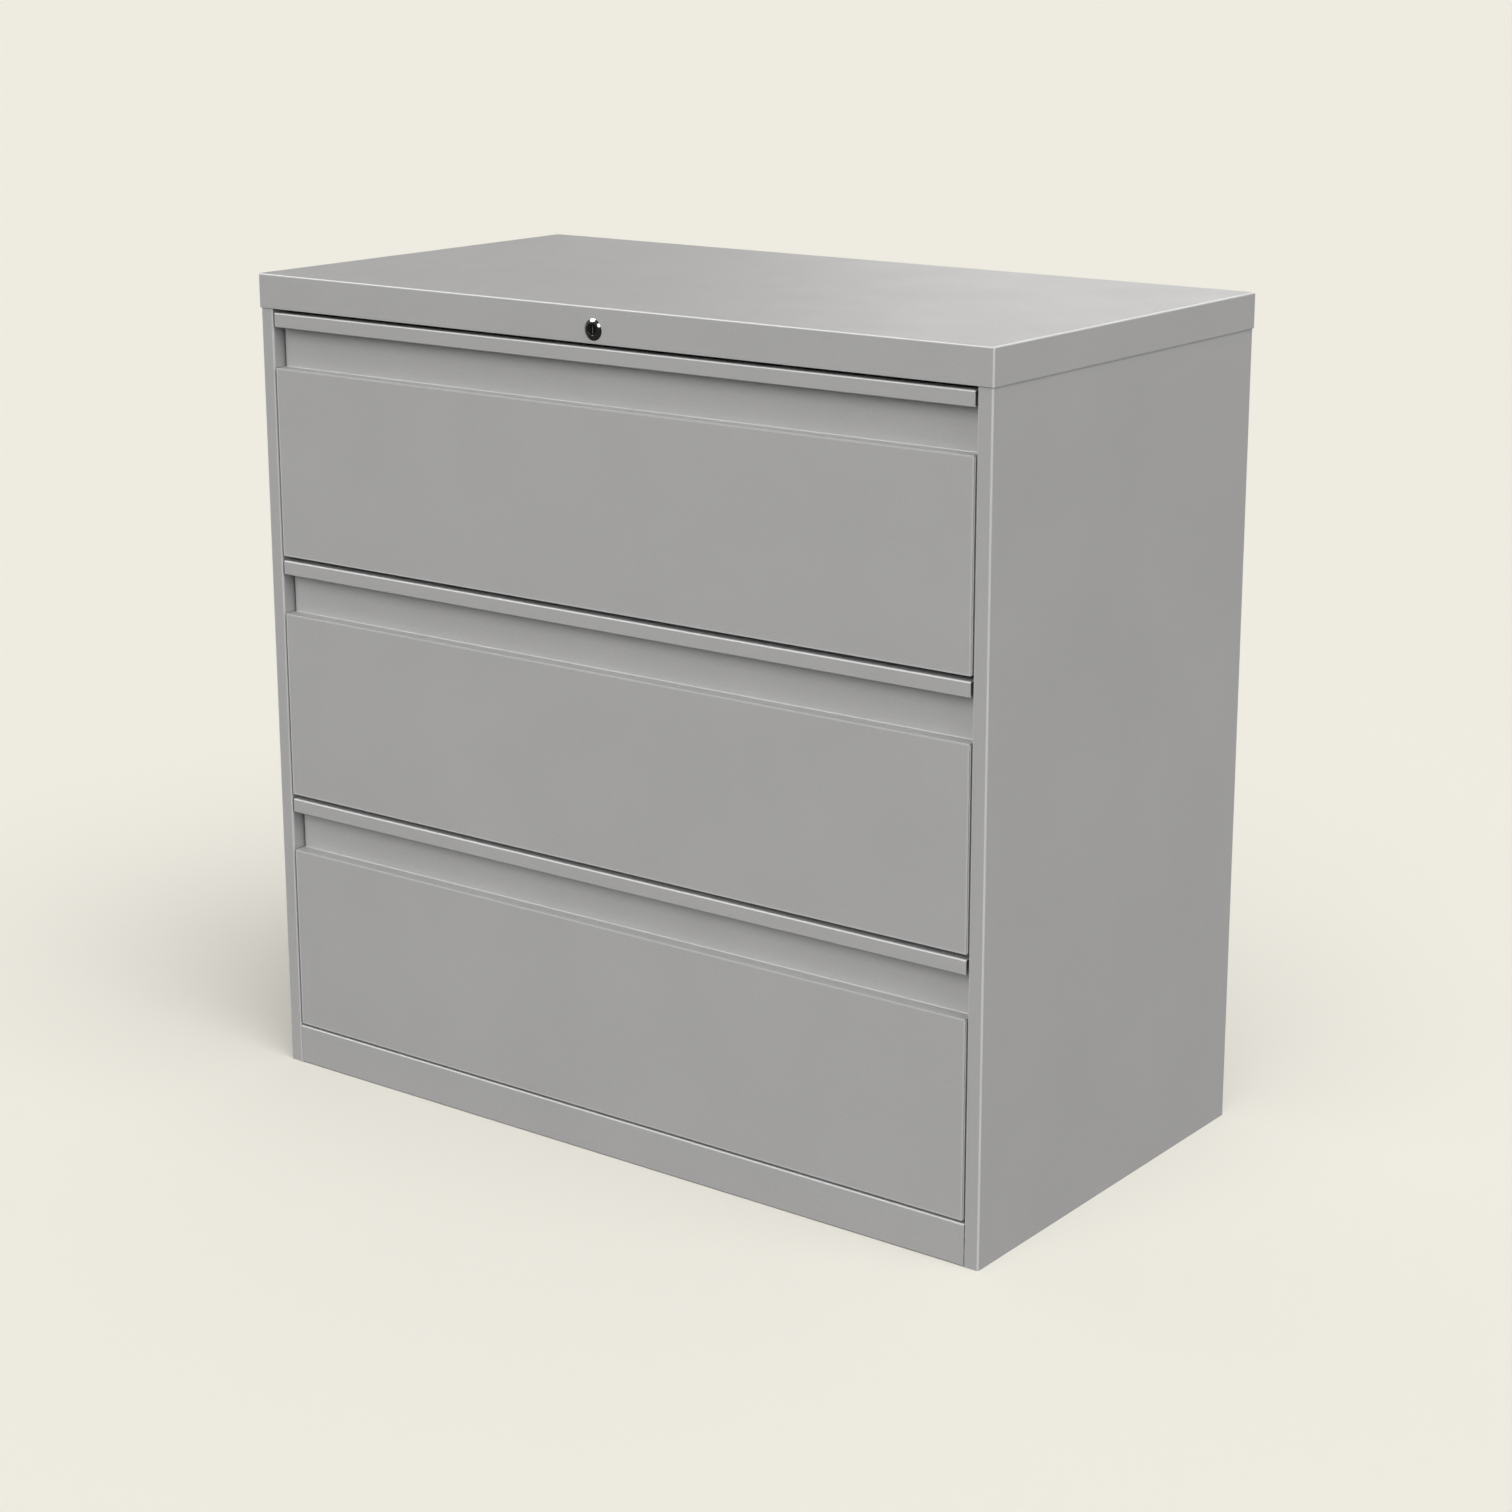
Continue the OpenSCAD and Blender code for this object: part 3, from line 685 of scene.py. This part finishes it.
def build_floor():
    """A matt floor that throws little of its light back at the cabinet."""
    bm = bmesh.new()
    bmesh.ops.create_grid(bm, x_segments=1, y_segments=1, size=FLOOR_HALF)
    mesh = bpy.data.meshes.new("floor")
    bm.to_mesh(mesh)
    bm.free()
    floor = bpy.data.objects.new("floor", mesh)
    bpy.context.scene.collection.objects.link(floor)
    material, tree, shader = new_material("studio_floor")
    shader.inputs["Roughness"].default_value = 1
    shader.inputs["Specular IOR Level"].default_value = 0
    bounce = shade(FLOOR_COLOUR, FLOOR_BOUNCE)
    colour = colour_mix(tree, seen_by_camera(tree), bounce, FLOOR_COLOUR)
    tree.links.new(colour, shader.inputs["Base Color"])
    floor.data.materials.append(material)


def sort_for_lamps():
    """Puts the cabinet's pieces and the floor in the two collections that lamps can be kept to."""
    for name in ("cabinet", "floor"):
        bpy.data.collections.new(name)
    for thing in bpy.context.scene.objects:
        if thing.type == "MESH":
            name = "floor" if thing.name == "floor" else "cabinet"
            bpy.data.collections[name].objects.link(thing)


def add_lamp(name, towards, strength, spread_degrees, light_kind, lights):
    """A soft distant lamp that shines from a direction, given as the vector towards it."""
    light = bpy.data.lights.new(name, "SUN")
    light.energy = strength
    light.color = LAMP_COLOUR
    light.angle = math.radians(spread_degrees)
    lamp = bpy.data.objects.new(name, light)
    lamp.rotation_euler = Vector(towards).to_track_quat("Z", "Y").to_euler()
    lamp.visible_diffuse = light_kind != "gloss"
    lamp.visible_glossy = light_kind != "matte"
    bpy.context.scene.collection.objects.link(lamp)
    if lights != "all":
        lamp.light_linking.receiver_collection = bpy.data.collections[lights]


def build_surroundings():
    """Pale surroundings that light the cabinet, and an even backdrop for the camera."""
    world = bpy.data.worlds.new("studio")
    world.use_nodes = True
    bpy.context.scene.world = world
    tree = world.node_tree
    sky = tree.nodes["Background"]
    sky.inputs["Color"].default_value = (*LAMP_COLOUR, 1)
    split = tree.nodes.new("ShaderNodeSeparateXYZ")
    direction = tree.nodes.new("ShaderNodeTexCoord").outputs["Generated"]
    tree.links.new(direction, split.inputs["Vector"])
    level = math_node(tree, "MULTIPLY_ADD", split.outputs["Y"], SKY_FROM_BACK, SKY_EVEN)
    tree.links.new(math_node(tree, "MAXIMUM", level, 0), sky.inputs["Strength"])
    backdrop = tree.nodes.new("ShaderNodeBackground")
    backdrop.inputs["Color"].default_value = (*BACKDROP_COLOUR, 1)
    choose = tree.nodes.new("ShaderNodeMixShader")
    factor, lighting, picture = choose.inputs
    tree.links.new(seen_by_camera(tree), factor)
    tree.links.new(sky.outputs["Background"], lighting)
    tree.links.new(backdrop.outputs["Background"], picture)
    tree.links.new(choose.outputs["Shader"], tree.nodes["World Output"].inputs["Surface"])


def build_camera():
    """A camera in front of the cabinet and to its right, looking down at it a little."""
    turn = math.radians(CAMERA_TURN_DEGREES)
    drop = math.radians(CAMERA_DROP_DEGREES)
    aim = Vector((
        -math.sin(turn) * math.cos(drop),
        math.cos(turn) * math.cos(drop),
        -math.sin(drop),
    ))
    data = bpy.data.cameras.new("camera")
    data.lens = CAMERA_LENS
    data.sensor_width = CAMERA_FILM
    data.shift_x = CAMERA_SHIFT_X
    data.shift_y = CAMERA_SHIFT_Y
    data.clip_end = CAMERA_REACH
    camera = bpy.data.objects.new("camera", data)
    camera.location = CAMERA_PLACE
    camera.rotation_euler = aim.to_track_quat("-Z", "Y").to_euler()
    bpy.context.scene.collection.objects.link(camera)
    bpy.context.scene.camera = camera


# ---- The scene ----

build_camera()
build_floor()
finish_frame_nodes()
build_top_panel()
for side in SIDES:
    build_side_panel(side)
build_base_rail("base_rail", forward=-1)
build_base_rail("rear_base_rail", forward=1)
for level in LEVELS:
    build_drawer_front(level)
build_lock_housing()
build_case_screws()
sort_for_lamps()
build_surroundings()
for name, settings in LAMPS.items():
    add_lamp(name, *settings)
bpy.context.scene.view_settings.view_transform = "Standard"
